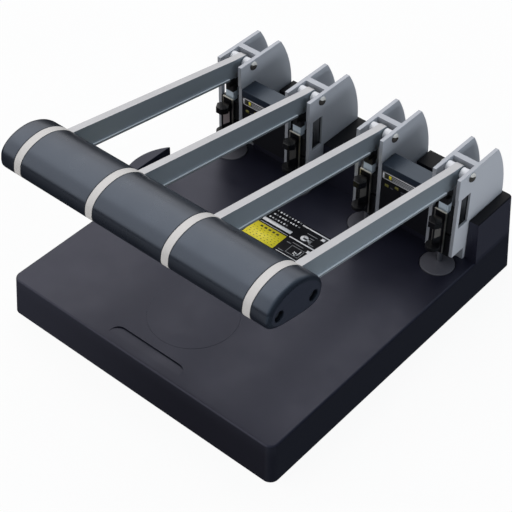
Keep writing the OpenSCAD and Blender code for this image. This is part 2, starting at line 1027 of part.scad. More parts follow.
module tie_rods() {
  tip = grip_half - nut_sink;
  color(steel)
    along_x(-tip, tip)
      at_rods() circle(r = rod_dia / 2);
}

module rod_nuts() {
  tip = grip_half - nut_sink;
  color(black)
    for (side = [-1, 1])
      sided(side)
        along_x(tip - nut_len, tip)
          at_rods()
            difference() {
              circle(r = nut_r);
              circle(r = rod_dia / 2 + press);
            }
}

holder_low = throat_z + guide_h + block_lift;
holder_top = holder_low + holder_h;

// Sliding block that carries a cutter, with a neck and a slotted tongue
module punch_holder(k) {
  half = plate_gap / 2 - holder_side_gap;
  channel_z = holder_low + holder_h / 2;
  neck_top = drive_z - neck_drop;
  tongue_z = drive_z + slot_half + tongue_top;
  color(steel)
    translate([head_x(k), 0, 0])
      difference() {
        union() {
          block([-half, holder_front, holder_low], [half, guide_rear, holder_top]);
          block([-neck_w / 2, holder_front, channel_z + channel_h], [neck_w / 2, neck_rear, neck_top]);
          block([-tongue_w / 2, tongue_front, neck_top - over], [tongue_w / 2, tongue_rear, tongue_z]);
          block([-tongue_w / 2, holder_front, holder_top - over], [tongue_w / 2, tongue_rear, tongue_z]);
        }
        translate([0, punch_y, holder_low - over])
          cylinder(h = holder_h / 2 + over, r = pipe_r + press);
        block(
          [-plate_gap, punch_y - channel_w / 2, channel_z],
          [plate_gap, punch_y + channel_w / 2, channel_z + channel_h]
        );
        along_x(-tongue_w, tongue_w) drive_slot();
      }
}

// Slot that the drive pin slides along while the holder rises
module drive_slot() {
  far_y = pivot_y - drive_r;
  translate([far_y, drive_z]) circle(r = slot_half);
  translate([drive_y, drive_z]) circle(r = slot_half);
  translate([far_y, drive_z - slot_half]) square([drive_y - far_y, slot_half + slot_half]);
}

module pipe_cutter(k) {
  tip_z = base_h + disc_proud + tip_gap;
  color(steel)
    translate([head_x(k), punch_y, tip_z])
      difference() {
        cylinder(h = holder_low + holder_h / 2 - tip_z, r = pipe_r);
        translate([0, 0, -over])
          cylinder(h = holder_low + holder_h / 2 - tip_z + over + over, r = pipe_bore_r);
      }
}

module cutting_disc(k) {
  color([0.45, 0.43, 0.48])
    disc_place(k)
      cylinder(h = disc_t, r = disc_dia / 2, $fn = disc_sides);
}

base_shell();
rear_housing();
bottom_mat();
base_frame();
frame_screws();
base_label();
head_bracket(1);  // head_bracket_1
head_bracket(2);  // head_bracket_2
head_bracket(3);  // head_bracket_3
head_bracket(4);  // head_bracket_4
guide_block(1);  // guide_block_1
guide_block(2);  // guide_block_2
guide_block(3);  // guide_block_3
guide_block(4);  // guide_block_4
unit_cover(1);  // unit_cover_1
unit_cover(2);  // unit_cover_2
unit_cover(3);  // unit_cover_3
unit_cover(4);  // unit_cover_4
unit_frames();
unit_labels();
bracket_bolts();
pivot_pins();
pivot_spacers();
chip_box(1);  // chip_box_left
chip_box(3);  // chip_box_right
chip_lid(1);  // chip_lid_left
chip_lid(3);  // chip_lid_right
chip_label(1);  // chip_label_left
chip_label(3);  // chip_label_right
side_guide();
guide_rail();
arm(1);  // arm_1
arm(2);  // arm_2
arm(3);  // arm_3
arm(4);  // arm_4
grip_segment(1);  // grip_segment_1
grip_segment(2);  // grip_segment_2
grip_segment(3);  // grip_segment_3
end_cap(-1);  // end_cap_left
end_cap(1);  // end_cap_right
tie_rods();
rod_nuts();
drive_pins();
punch_holder(1);  // punch_holder_1
punch_holder(2);  // punch_holder_2
punch_holder(3);  // punch_holder_3
punch_holder(4);  // punch_holder_4
pipe_cutter(1);  // pipe_cutter_1
pipe_cutter(2);  // pipe_cutter_2
pipe_cutter(3);  // pipe_cutter_3
pipe_cutter(4);  // pipe_cutter_4
clamp_knob(1);  // clamp_knob_1
clamp_knob(2);  // clamp_knob_2
clamp_knob(3);  // clamp_knob_3
clamp_knob(4);  // clamp_knob_4
cutting_disc(1);  // cutting_disc_1
cutting_disc(2);  // cutting_disc_2
cutting_disc(3);  // cutting_disc_3
cutting_disc(4);  // cutting_disc_4
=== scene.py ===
"""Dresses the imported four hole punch: materials, edge rounding, small details, light and camera."""
import math

import bmesh
import bpy
from mathutils import Matrix, Vector


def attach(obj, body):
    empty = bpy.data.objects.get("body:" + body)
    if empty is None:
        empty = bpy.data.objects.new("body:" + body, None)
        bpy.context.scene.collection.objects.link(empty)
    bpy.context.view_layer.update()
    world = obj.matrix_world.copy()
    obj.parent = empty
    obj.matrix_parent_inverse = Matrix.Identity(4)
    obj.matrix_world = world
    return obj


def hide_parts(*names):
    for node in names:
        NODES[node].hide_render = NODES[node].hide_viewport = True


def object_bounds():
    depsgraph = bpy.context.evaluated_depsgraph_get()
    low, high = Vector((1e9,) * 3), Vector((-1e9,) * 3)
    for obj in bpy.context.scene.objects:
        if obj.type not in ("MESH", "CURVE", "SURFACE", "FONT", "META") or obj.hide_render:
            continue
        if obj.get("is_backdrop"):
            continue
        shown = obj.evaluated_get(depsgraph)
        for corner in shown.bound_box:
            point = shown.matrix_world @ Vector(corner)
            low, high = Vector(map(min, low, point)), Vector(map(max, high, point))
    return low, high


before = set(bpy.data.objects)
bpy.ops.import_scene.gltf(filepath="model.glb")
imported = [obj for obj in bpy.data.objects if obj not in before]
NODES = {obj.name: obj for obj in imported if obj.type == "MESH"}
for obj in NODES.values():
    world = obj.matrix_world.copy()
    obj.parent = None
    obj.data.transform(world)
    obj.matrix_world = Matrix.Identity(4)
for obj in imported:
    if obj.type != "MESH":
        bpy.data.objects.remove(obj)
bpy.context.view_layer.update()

MM = 0.001
X_AXIS, Y_AXIS, Z_AXIS = (1, 0, 0), (0, 1, 0), (0, 0, 1)
SIDES = ("left", "right")
HEADS = (1, 2, 3, 4)
PITCH = 80.0
HEAD_X = {k: (k - 2.5) * PITCH for k in HEADS}

# Places in the part's millimetres
BASE_HALF, BASE_D = 149.0, 336.0
DECK_Z = 40.3
LOW_WALL_Z = 40.2
FRONT_WALL_Y = -160.0
HOUSE_Z = 44.0
PRINT_Z = 40.6
PIVOT = (105.4, 135.2)
NECK_Z = (99.9, 109.5)
WINDOW_Y, WINDOW_Z, WINDOW_LAP = (94.0, 107.5), (85.0, 117.3), 0.4
NOSE_LIGHT_X = -80.0

# The handle's section, as in the part: its centre, half depth, heights, powers and tilt
GRIP_CENTRE = (-133.4, 172.7)
GRIP_HALF, GRIP_CROWN, GRIP_BELLY = 31.65, 20.5, 15.8
CROWN_POWER, BELLY_POWER = 1.84, 3.5
GRIP_TILT = math.radians(11.5)
GRIP_LAP = 0.25

# Sideways distances from an arm's middle: its lip, the seams beside it, its bracket
LIP_FROM, SEAM_TO, BRACKET_TO = 3.65, 4.5, 12.1

# The rounding of the deck's outer top edge
RIM_ROUND, RIM_END, RIM_NEAR, RIM_FLAT = 1.6, 90.0, 9.0, 0.05
RIM_SEGMENTS = 4


# ---------------------------------------------------------------- material nodes

def shader(name, color, rough, metallic=0.0, level=0.5):
    """A new node material with constant values on its own shader."""
    mat = bpy.data.materials.new(name)
    mat.use_nodes = True
    bsdf = mat.node_tree.nodes["Principled BSDF"]
    bsdf.inputs["Base Color"].default_value = (*color, 1)
    bsdf.inputs["Roughness"].default_value = rough
    bsdf.inputs["Metallic"].default_value = metallic
    bsdf.inputs["Specular IOR Level"].default_value = level
    mat.diffuse_color = (*color, 1)
    return mat


def math_node(mat, operation, first, second=None):
    """One math node; numbers are set on its sockets and sockets are linked to it."""
    node = mat.node_tree.nodes.new("ShaderNodeMath")
    node.operation = operation
    for socket, value in zip(node.inputs, (first, second)):
        if value is None:
            continue
        if isinstance(value, (int, float)):
            socket.default_value = value
        else:
            mat.node_tree.links.new(value, socket)
    return node.outputs["Value"]


def map_range(tree, value, start, end, low, high, kind="LINEAR"):
    """A value carried from start..end to low..high and held at both ends."""
    span = tree.nodes.new("ShaderNodeMapRange")
    span.interpolation_type = kind
    for key, number in (("From Min", start), ("From Max", end), ("To Min", low), ("To Max", high)):
        span.inputs[key].default_value = number
    tree.links.new(value, span.inputs["Value"])
    return span.outputs["Result"]


def object_noise(mat, scale, detail, stretch=(1, 1, 1)):
    """A noise texture in the row frame's metres."""
    nodes, links = mat.node_tree.nodes, mat.node_tree.links
    place = nodes.new("ShaderNodeTexCoord")
    mapping = nodes.new("ShaderNodeMapping")
    mapping.inputs["Scale"].default_value = stretch
    noise = nodes.new("ShaderNodeTexNoise")
    noise.inputs["Scale"].default_value = scale
    noise.inputs["Detail"].default_value = detail
    links.new(place.outputs["Object"], mapping.inputs["Vector"])
    links.new(mapping.outputs["Vector"], noise.inputs["Vector"])
    return noise.outputs["Fac"]


DRIFT_DETAIL, GRAIN_DETAIL = 4.0, 3.0
COLOR_SCALE, ROUGH_SCALE = 28, 45


def grain(mat, scale, depth, stretch):
    """Fine bump, depth in metres."""
    nodes, links = mat.node_tree.nodes, mat.node_tree.links
    bump = nodes.new("ShaderNodeBump")
    bump.inputs["Distance"].default_value = depth
    links.new(object_noise(mat, scale, GRAIN_DETAIL, stretch), bump.inputs["Height"])
    links.new(bump.outputs["Normal"], nodes["Principled BSDF"].inputs["Normal"])


def mottle(mat, scale, dark, light):
    """Slow drift of the colour between two tones."""
    nodes, links = mat.node_tree.nodes, mat.node_tree.links
    ramp = nodes.new("ShaderNodeValToRGB")
    for stop, place, tone in zip(ramp.color_ramp.elements, (0.35, 0.65), (dark, light)):
        stop.position = place
        stop.color = (*tone, 1)
    links.new(object_noise(mat, scale, DRIFT_DETAIL), ramp.inputs["Fac"])
    links.new(ramp.outputs["Color"], nodes["Principled BSDF"].inputs["Base Color"])


def rough_drift(mat, scale, low, high, stretch):
    """Slow drift of the roughness between two values."""
    tree = mat.node_tree
    drift = map_range(tree, object_noise(mat, scale, DRIFT_DETAIL, stretch), 0.3, 0.7, low, high)
    tree.links.new(drift, tree.nodes["Principled BSDF"].inputs["Roughness"])


def scaled(color, share):
    return tuple(c * share for c in color)


def finish_of(name, color, rough, drift=0.08, grain_scale=2200, grain_depth=2e-5, metallic=0.0,
              level=0.5, rough_span=0.05, stretch=(1, 1, 1), tint=None):
    """A moulded or painted surface: colour drift, roughness drift and a fine grain."""
    mat = shader(name, color, rough, metallic, level)
    if tint:
        bsdf = mat.node_tree.nodes["Principled BSDF"]
        bsdf.inputs["Specular Tint"].default_value = (*tint, 1)
    mottle(mat, COLOR_SCALE, scaled(color, 1 - drift), scaled(color, 1 + drift))
    rough_drift(mat, ROUGH_SCALE, rough - rough_span, rough + rough_span, stretch)
    grain(mat, grain_scale, grain_depth, stretch)
    return mat


def film(name, color, rough, drift, level=0.5):
    """A printed or laminated film: hardly any grain."""
    return finish_of(name, color, rough, drift=drift, grain_depth=4e-6, level=level)


# ---------------------------------------------------------------- masks

def over(mat, value, limit):
    """1 where a value is above a limit, 0 elsewhere."""
    return math_node(mat, "GREATER_THAN", value, limit)


def under(mat, value, limit):
    """1 where a value is below a limit, 0 elsewhere."""
    return math_node(mat, "LESS_THAN", value, limit)


def both(mat, first, second):
    """The product of two masks."""
    return math_node(mat, "MULTIPLY", first, second)


def absolute(mat, value):
    """A value without its sign."""
    return math_node(mat, "ABSOLUTE", value)


def dot_with(mat, output, direction):
    """The dot product of a texture coordinate and a direction."""
    nodes, links = mat.node_tree.nodes, mat.node_tree.links
    place = nodes.new("ShaderNodeTexCoord")
    dot = nodes.new("ShaderNodeVectorMath")
    dot.operation = "DOT_PRODUCT"
    dot.inputs[1].default_value = direction
    links.new(place.outputs[output], dot.inputs[0])
    return dot.outputs["Value"]


def along(mat, direction, origin=(0, 0, 0)):
    """Distance of a point from origin along a direction, in the row frame's metres."""
    reach = Vector(direction).dot(Vector(origin))
    return math_node(mat, "SUBTRACT", dot_with(mat, "Object", direction), reach)


def facing(mat, direction):
    """How far a surface looks along a direction: 1 straight on, 0 sideways."""
    return dot_with(mat, "Normal", direction)


def above_height(mat, z):
    """1 above a height in millimetres, 0 below it."""
    return over(mat, along(mat, Z_AXIS, (0, 0, z * MM)), 0.0)


def rise(mat, value, start, end, high):
    """A smooth climb from 0 at start to high at end."""
    return map_range(mat.node_tree, value, start, end, 0.0, high, "SMOOTHSTEP")


def off_arm(mat):
    """Sideways distance from the nearest arm's middle, in shares of the arms' pitch."""
    shifted = math_node(mat, "ADD", along(mat, X_AXIS), 2 * PITCH * MM)
    turns = math_node(mat, "FRACT", math_node(mat, "DIVIDE", shifted, PITCH * MM))
    return absolute(mat, math_node(mat, "SUBTRACT", turns, 0.5))


def bow_of(mat, u, v, height, power):
    """The handle section's own measure: below 1 inside its outline, above 1 outside it."""
    parts = []
    for value, size in ((u, GRIP_HALF), (v, height)):
        share = math_node(mat, "DIVIDE", absolute(mat, value), (size + GRIP_LAP) * MM)
        parts.append(math_node(mat, "POWER", share, power))
    return math_node(mat, "ADD", parts[0], parts[1])


def on_handle(mat):
    """1 on the handle's section, 0 outside it."""
    origin = (0, GRIP_CENTRE[0] * MM, GRIP_CENTRE[1] * MM)
    c, s = math.cos(GRIP_TILT), math.sin(GRIP_TILT)
    u = along(mat, (0, c, -s), origin)
    v = along(mat, (0, s, c), origin)
    crown = bow_of(mat, u, v, GRIP_CROWN, CROWN_POWER)
    belly = bow_of(mat, u, v, GRIP_BELLY, BELLY_POWER)
    above = over(mat, v, 0.0)
    in_crown = both(mat, above, under(mat, crown, 1.0))
    below = math_node(mat, "SUBTRACT", 1.0, above)
    in_belly = both(mat, below, under(mat, belly, 1.0))
    return math_node(mat, "ADD", in_crown, in_belly)


def within_bracket(mat):
    """1 on the walls of the plates' windows, which lie between a plate's two faces."""
    mask = under(mat, off_arm(mat), BRACKET_TO / PITCH)
    for axis, (low, high) in ((Y_AXIS, WINDOW_Y), (Z_AXIS, WINDOW_Z)):
        value = along(mat, axis)
        mask = both(mat, mask, over(mat, value, (low - WINDOW_LAP) * MM))
        mask = both(mat, mask, under(mat, value, (high + WINDOW_LAP) * MM))
    return mask


def second_tone(mat, mask, color, rough, metallic):
    """Gives a material another colour, roughness and metallic value where the mask is 1."""
    nodes, links = mat.node_tree.nodes, mat.node_tree.links
    for name, kind, value in (("Base Color", "RGBA", (*color, 1)), ("Roughness", "FLOAT", rough),
                              ("Metallic", "FLOAT", metallic)):
        socket = nodes["Principled BSDF"].inputs[name]
        blend = nodes.new("ShaderNodeMix")
        blend.data_type = kind
        links.new(mask, blend.inputs["Factor"])
        if socket.links:
            links.new(socket.links[0].from_socket, blend.inputs["A"])
        else:
            blend.inputs["A"].default_value = socket.default_value
        blend.inputs["B"].default_value = value
        links.new(blend.outputs["Result"], socket)


# ---------------------------------------------------------------- materials
# A mask by place gives bands and necks their own tone, and seams and windows painted shade. Tones by
# facing or by slow ramps, and the dim noses, are painted light and shade: they stay put in any other
# light.

COOL = (0.80, 0.82, 1.0)
COOL_GRIP = (0.72, 0.83, 1.0)
COOL_LID = (0.72, 0.86, 1.0)


def dress_base(mat):
    """Painted shade on the low walls; painted light on the front wall at its left and its top, and on
    the right flanks behind.
    """
    # Painted shade: upright faces below the deck's height are darker.
    low = math_node(mat, "SUBTRACT", 1.0, above_height(mat, LOW_WALL_Z))
    upright = under(mat, absolute(mat, facing(mat, Z_AXIS)), 0.5)
    second_tone(mat, both(mat, upright, low), (0.0052, 0.0052, 0.0095), 0.38, 0.0)
    # Painted light: the front wall is paler towards its left and its top.
    front = under(mat, along(mat, Y_AXIS, (0, FRONT_WALL_Y * MM, 0)), 0.0)
    wall = under(mat, facing(mat, Z_AXIS), 0.75)
    top = rise(mat, along(mat, Z_AXIS), 0.026, 0.038, 0.15)
    left = rise(mat, along(mat, X_AXIS), 0.06, -0.15, 0.6)
    share = both(mat, both(mat, front, wall), math_node(mat, "ADD", top, left))
    second_tone(mat, math_node(mat, "MINIMUM", share, 1.0), (0.027, 0.028, 0.041), 0.40, 0.0)
    # Painted light: the rear housing's right flanks are paler.
    flank = both(mat, above_height(mat, HOUSE_Z), over(mat, facing(mat, X_AXIS), 0.7))
    second_tone(mat, flank, (0.018, 0.018, 0.028), 0.40, 0.0)


def dress_grip(mat):
    """Paler end faces as painted light, and painted shade in the seams where a segment meets an arm's
    band.
    """
    # Painted light: the end faces are paler and duller.
    ends = over(mat, absolute(mat, facing(mat, X_AXIS)), 0.97)
    second_tone(mat, ends, (0.016, 0.0175, 0.028), 0.4, 0.0)
    # Painted shade in the seam beside each arm's band.
    seam = under(mat, off_arm(mat), SEAM_TO / PITCH)
    second_tone(mat, seam, (0.003, 0.003, 0.004), 0.7, 0.0)


def dress_bracket(mat):
    """Paler right faces as painted light, and painted shade on the walls in the windows."""
    # Painted light: faces looking right are paler.
    second_tone(mat, over(mat, facing(mat, X_AXIS), 0.8), (0.50, 0.525, 0.575), 0.38, 0.2)
    # Painted shade: the walls inside the windows are nearly black.
    second_tone(mat, within_bracket(mat), (0.006, 0.006, 0.007), 0.5, 0.0)


def dress_arm(mat):
    """Painted shade on the right flanks and the lip along the lower edge, a painted highlight on the
    lip's upper faces, and the bare bands on the handle.
    """
    # Painted shade: faces looking right are darker.
    flank = over(mat, facing(mat, X_AXIS), 0.8)
    second_tone(mat, flank, (0.29, 0.335, 0.375), 0.42, 0.55)
    # Painted shade: the lip is darker.
    lip = over(mat, off_arm(mat), LIP_FROM / PITCH)
    second_tone(mat, lip, (0.17, 0.19, 0.21), 0.45, 0.2)
    # Painted highlight: the lip's upward faces are nearly white.
    lit = both(mat, lip, over(mat, facing(mat, Z_AXIS), 0.3))
    second_tone(mat, lit, (0.86, 0.90, 0.94), 0.5, 0.0)
    second_tone(mat, on_handle(mat), (0.60, 0.575, 0.555), 0.5, 0.12)


base_plastic = finish_of("base_plastic", (0.0095, 0.0095, 0.0175), 0.36, level=0.46, tint=COOL)
dress_base(base_plastic)
# Painted shade: a darker, duller copy of the base plastic for the rear housing's upward tops.
shaded_ledge_plastic = finish_of("shaded_ledge_plastic", (0.003, 0.003, 0.005), 0.5, level=0.16)
grip_plastic = finish_of("grip_plastic", (0.0075, 0.0095, 0.0150), 0.30, grain_scale=2600,
                         grain_depth=1.2e-5, level=0.96, tint=COOL_GRIP)
dress_grip(grip_plastic)
black_plastic = finish_of("black_plastic", (0.0035, 0.0035, 0.0045), 0.36, level=0.28)
guide_plastic = finish_of("guide_plastic", (0.010, 0.011, 0.019), 0.42, level=0.45, tint=COOL)
box_plastic = finish_of("box_plastic", (0.0035, 0.0035, 0.0055), 0.45, level=0.3)
knob_plastic = finish_of("knob_plastic", (0.0035, 0.0035, 0.0045), 0.28, level=0.35)
lid_plastic = finish_of("lid_plastic", (0.012, 0.017, 0.028), 0.3, level=0.7, tint=COOL_LID,
                        grain_depth=4e-6, rough_span=0.03)
disc_plastic = finish_of("disc_plastic", (0.075, 0.074, 0.088), 0.5, drift=0.1)
spacer_plastic = finish_of("spacer_plastic", (0.72, 0.72, 0.75), 0.22, drift=0.03)
mat_rubber = finish_of("mat_rubber", (0.012, 0.012, 0.013), 0.8, grain_scale=900, grain_depth=6e-5)
silver_paint = finish_of("silver_paint", (0.38, 0.395, 0.43), 0.36, drift=0.04, metallic=0.3,
                         grain_scale=3200, grain_depth=1.2e-5)
dress_bracket(silver_paint)
arm_paint = finish_of("arm_paint", (0.475, 0.475, 0.485), 0.40, drift=0.04, metallic=0.65,
                      grain_scale=3200, grain_depth=1.6e-5)
dress_arm(arm_paint)
frame_steel = finish_of("frame_steel", (0.62, 0.60, 0.52), 0.33, drift=0.06, metallic=1.0,
                        grain_scale=900, stretch=(1, 1, 8))
fitting_steel = finish_of("fitting_steel", (0.45, 0.45, 0.46), 0.36, drift=0.08, metallic=1.0,
                          grain_scale=1200, stretch=(8, 1, 1))
holder_steel = finish_of("holder_steel", (0.008, 0.008, 0.009), 0.4, level=0.35)
neck = math_node(holder_steel, "SUBTRACT", *(above_height(holder_steel, z) for z in NECK_Z))
second_tone(holder_steel, neck, (0.44, 0.51, 0.58), 0.3, 0.1)
cutter_steel = finish_of("cutter_steel", (0.42, 0.43, 0.45), 0.25, drift=0.05, metallic=1.0,
                         grain_scale=1500, stretch=(1, 1, 0.05))
pin_steel = finish_of("pin_steel", (0.060, 0.055, 0.050), 0.26, metallic=0.3, level=0.6)
# Painted highlight: a pale glint on the heads' upper rear faces.
glint = over(pin_steel, facing(pin_steel, (0, 0.5, 0.87)), 0.16)
second_tone(pin_steel, glint, (0.80, 0.78, 0.74), 0.24, 0.3)
label_film = film("label_film", (0.005, 0.005, 0.007), 0.35, 0.08, level=0.12)
print_yellow = film("print_yellow", (0.82, 0.70, 0.03), 0.45, 0.04)
print_white = film("print_white", (0.74, 0.74, 0.76), 0.45, 0.04)
print_grey = film("print_grey", (0.20, 0.205, 0.215), 0.45, 0.06)
print_dark = film("print_dark", (0.03, 0.03, 0.012), 0.45, 0.04)
strip_grey = film("strip_grey", (0.34, 0.345, 0.36), 0.45, 0.1)
mark_yellow = film("mark_yellow", (0.16, 0.15, 0.03), 0.5, 0.08)
mark_grey = film("mark_grey", (0.06, 0.062, 0.075), 0.5, 0.08)
strip_film = film("strip_film", (0.05, 0.051, 0.056), 0.4, 0.06)
nose_film = film("nose_film", (0.46, 0.38, 0.38), 0.5, 0.06)
# Painted shade: nose labels to the right of NOSE_LIGHT_X are dim.
dim_noses = over(nose_film, along(nose_film, X_AXIS, (NOSE_LIGHT_X * MM, 0, 0)), 0.0)
second_tone(nose_film, dim_noses, (0.085, 0.08, 0.075), 0.5, 0.0)

LOOKS = {
    "base_shell": base_plastic, "rear_housing": base_plastic, "bottom_mat": mat_rubber,
    "base_frame": fitting_steel, "frame_screws": fitting_steel, "bracket_bolts": fitting_steel,
    "guide_rail": fitting_steel, "tie_rods": fitting_steel, "drive_pins": fitting_steel,
    "base_label": label_film, "unit_frames": frame_steel, "unit_labels": nose_film,
    "pivot_pins": pin_steel, "pivot_spacers": spacer_plastic, "side_guide": guide_plastic,
    "rod_nuts": black_plastic,
}
SIDE_LOOKS = {"chip_box": box_plastic, "chip_lid": lid_plastic, "chip_label": strip_film,
              "end_cap": grip_plastic}
HEAD_LOOKS = {"head_bracket": silver_paint, "arm": arm_paint, "guide_block": black_plastic,
              "unit_cover": black_plastic, "punch_holder": holder_steel, "pipe_cutter": cutter_steel,
              "clamp_knob": knob_plastic, "cutting_disc": disc_plastic}
LOOKS.update({"%s_%s" % (stem, side): mat for stem, mat in SIDE_LOOKS.items() for side in SIDES})
LOOKS.update({"%s_%d" % (stem, k): mat for stem, mat in HEAD_LOOKS.items() for k in HEADS})
LOOKS.update({"grip_segment_%d" % k: grip_plastic for k in (1, 2, 3)})


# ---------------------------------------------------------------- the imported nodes

# Edge roundings in millimetres, by the stem of a node's name
EDGE = {"head_bracket": 0.6, "arm": 0.5, "chip_lid": 1.3, "chip_box": 0.4, "clamp_knob": 0.6,
        "cutting_disc": 0.5, "side_guide": 1.8, "grip_segment": 0.6, "end_cap": 0.6,
        "punch_holder": 0.6, "pivot_spacers": 1.2, "unit_cover": 0.3}
PLAIN_EDGE = 0.2
EDGE_SEGMENTS, EDGE_ANGLE = 2, 32
# Merge distances in metres and flat angles in degrees, for the nodes and for their union
WELD, FLAT_ANGLE = 1e-6, 0.5
UNION_WELD, UNION_FLAT = 1e-5, 0.6


def edge_width(name):
    for stem, width in EDGE.items():
        if name.startswith(stem):
            return width
    return PLAIN_EDGE


def round_edges(obj, width):
    """Rounds the edges as a modifier."""
    bevel = obj.modifiers.new("edges", "BEVEL")
    bevel.width = width * MM
    bevel.segments = EDGE_SEGMENTS
    bevel.limit_method = "ANGLE"
    bevel.angle_limit = math.radians(EDGE_ANGLE)
    bevel.harden_normals = True
    bevel.use_clamp_overlap = True


def set_look(mesh, material):
    """Gives a mesh its one material and smooth shading."""
    mesh.materials.clear()
    mesh.materials.append(material)
    mesh.polygons.foreach_set("use_smooth", [True] * len(mesh.polygons))


for name, obj in NODES.items():
    for layer in ("custom_normal", "sharp_edge", "sharp_face"):
        if layer in obj.data.attributes:
            obj.data.attributes.remove(obj.data.attributes[layer])
    set_look(obj.data, LOOKS[name])
    weld = obj.modifiers.new("weld", "WELD")
    weld.merge_threshold = WELD
    flat = obj.modifiers.new("flat", "DECIMATE")
    flat.decimate_type = "DISSOLVE"
    flat.angle_limit = math.radians(FLAT_ANGLE)
    round_edges(obj, edge_width(name))


# ---------------------------------------------------------------- meshes and pieces

def add_piece(name, mesh, material, body, edge=0.0):
    """Puts a finished mesh in the scene as a piece that rides on a body."""
    obj = bpy.data.objects.new(name, mesh)
    bpy.context.scene.collection.objects.link(obj)
    set_look(mesh, material)
    if edge:
        round_edges(obj, edge)
    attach(obj, body)
    return obj


def mesh_of(name, verts, faces):
    """A mesh from corners in millimetres, with its faces turned outward."""
    mesh = bpy.data.meshes.new(name)
    mesh.from_pydata([tuple(c * MM for c in v) for v in verts], [], faces)
    bm = bmesh.new()
    bm.from_mesh(mesh)
    bmesh.ops.recalc_face_normals(bm, faces=bm.faces)
    bm.to_mesh(mesh)
    bm.free()
    return mesh


def slabs(name, outlines, low, high):
    """Thin upright prisms over flat outlines given in millimetres, as one mesh."""
    verts, faces = [], []
    for outline in outlines:
        start, n = len(verts), len(outline)
        verts += [(x, y, low) for x, y in outline] + [(x, y, high) for x, y in outline]
        faces.append(tuple(range(start + n - 1, start - 1, -1)))
        faces.append(tuple(range(start + n, start + 2 * n)))
        for i in range(n):
            a, b = start + i, start + (i + 1) % n
            faces.append((a, b, b + n, a + n))
    return mesh_of(name, verts, faces)


def bar(x0, y0, x1, y1):
    return [(x0, y0), (x1, y0), (x1, y1), (x0, y1)]


def ring(centre, radii, count):
    """Points round an ellipse."""
    turns = [2 * math.pi * i / count for i in range(count)]
    return [(centre[0] + radii[0] * math.cos(t), centre[1] + radii[1] * math.sin(t)) for t in turns]


BOX_FACES = ((0, 1, 2, 3), (7, 6, 5, 4), (4, 5, 1, 0), (3, 2, 6, 7), (4, 0, 3, 7), (1, 5, 6, 2))


def face_slabs(name, rects, back, front):
    """Thin boxes on an upright face that looks to the front; rects are x0, z0, x1, z1."""
    verts, faces = [], []
    for x0, z0, x1, z1 in rects:
        n = len(verts)
        for y in (front, back):
            verts += [(x0, y, z0), (x1, y, z0), (x1, y, z1), (x0, y, z1)]
        faces += [tuple(n + i for i in face) for face in BOX_FACES]
    return mesh_of(name, verts, faces)


def lathe_x(name, stations, x_centre, y, z, count=40):
    """A turned solid along X from (x, radius) stations; it closes on its axis at both ends."""
    verts, faces = [(x_centre + stations[0][0], y, z)], []
    for x, r in stations:
        verts += [(x_centre + x, *point) for point in ring((y, z), (r, r), count)]
    verts.append((x_centre + stations[-1][0], y, z))
    end, end_ring = len(verts) - 1, 1 + (len(stations) - 1) * count
    for i in range(count):
        j = (i + 1) % count
        faces.append((0, 1 + j, 1 + i))
        faces.append((end, end_ring + i, end_ring + j))
        for s in range(len(stations) - 1):
            a, b = 1 + s * count, 1 + (s + 1) * count
            faces.append((a + i, a + j, b + j, b + i))
    return mesh_of(name, verts, faces)


# ---------------------------------------------------------------- the base moulding

def clean_copy(name):
    """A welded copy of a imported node's mesh, with its flat triangles joined."""
    bm = bmesh.new()
    bm.from_mesh(NODES[name].data)
    bmesh.ops.remove_doubles(bm, verts=bm.verts, dist=WELD)
    bmesh.ops.dissolve_limit(bm, angle_limit=math.radians(FLAT_ANGLE), verts=bm.verts, edges=bm.edges)
    mesh = bpy.data.meshes.new(name + "_copy")
    bm.to_mesh(mesh)
    bm.free()
    return mesh


def deck_rim(edge):
    """True for the outer top edge of the deck, at its front and sides."""
    for v in edge.verts:
        if abs(v.co.z / MM - DECK_Z) > RIM_FLAT or v.co.y / MM > RIM_END:
            return False
    middle = (edge.verts[0].co + edge.verts[1].co) / 2 / MM
    side = max(abs(f.normal.x) + abs(f.normal.y) for f in edge.link_faces) > 0.5
    return side and (abs(middle.x) > BASE_HALF - RIM_NEAR or middle.y < -BASE_D / 2 + RIM_NEAR)


def union_of(title, first, second):
    """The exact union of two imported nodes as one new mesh, with the deck's rim rounded."""
    one = bpy.data.objects.new(title + "_one", clean_copy(first))
    two = bpy.data.objects.new(title + "_two", clean_copy(second))
    for obj in (one, two):
        bpy.context.scene.collection.objects.link(obj)
    cut = one.modifiers.new("join", "BOOLEAN")
    cut.operation = "UNION"
    cut.solver = "EXACT"
    cut.object = two
    bpy.context.view_layer.update()
    ready = one.evaluated_get(bpy.context.evaluated_depsgraph_get())
    mesh = bpy.data.meshes.new_from_object(ready)
    mesh.name = title
    for obj in (one, two):
        bpy.data.objects.remove(obj, do_unlink=True)
    bm = bmesh.new()
    bm.from_mesh(mesh)
    bmesh.ops.remove_doubles(bm, verts=bm.verts, dist=UNION_WELD)
    bmesh.ops.dissolve_limit(bm, angle_limit=math.radians(UNION_FLAT), verts=bm.verts, edges=bm.edges)
    bmesh.ops.bevel(bm, geom=[e for e in bm.edges if deck_rim(e)], offset=RIM_ROUND * MM,
                    offset_type="OFFSET", segments=RIM_SEGMENTS, profile=0.5, affect="EDGES",
                    clamp_overlap=True)
    bm.to_mesh(mesh)
    bm.free()
    return mesh


moulding = add_piece("base_moulding", union_of("base_moulding", "base_shell", "rear_housing"),
                     base_plastic, "base", 0.5)
# The rear housing's upward tops take the painted shade of the second material.
moulding.data.materials.append(shaded_ledge_plastic)
for face in moulding.data.polygons:
    if face.center.z > HOUSE_Z * MM and face.normal.z > 0.7:
        face.material_index = 1
lit = moulding.modifiers.new("lit", "WEIGHTED_NORMAL")
lit.keep_sharp = True
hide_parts("base_shell", "rear_housing")


# ---------------------------------------------------------------- plain printing

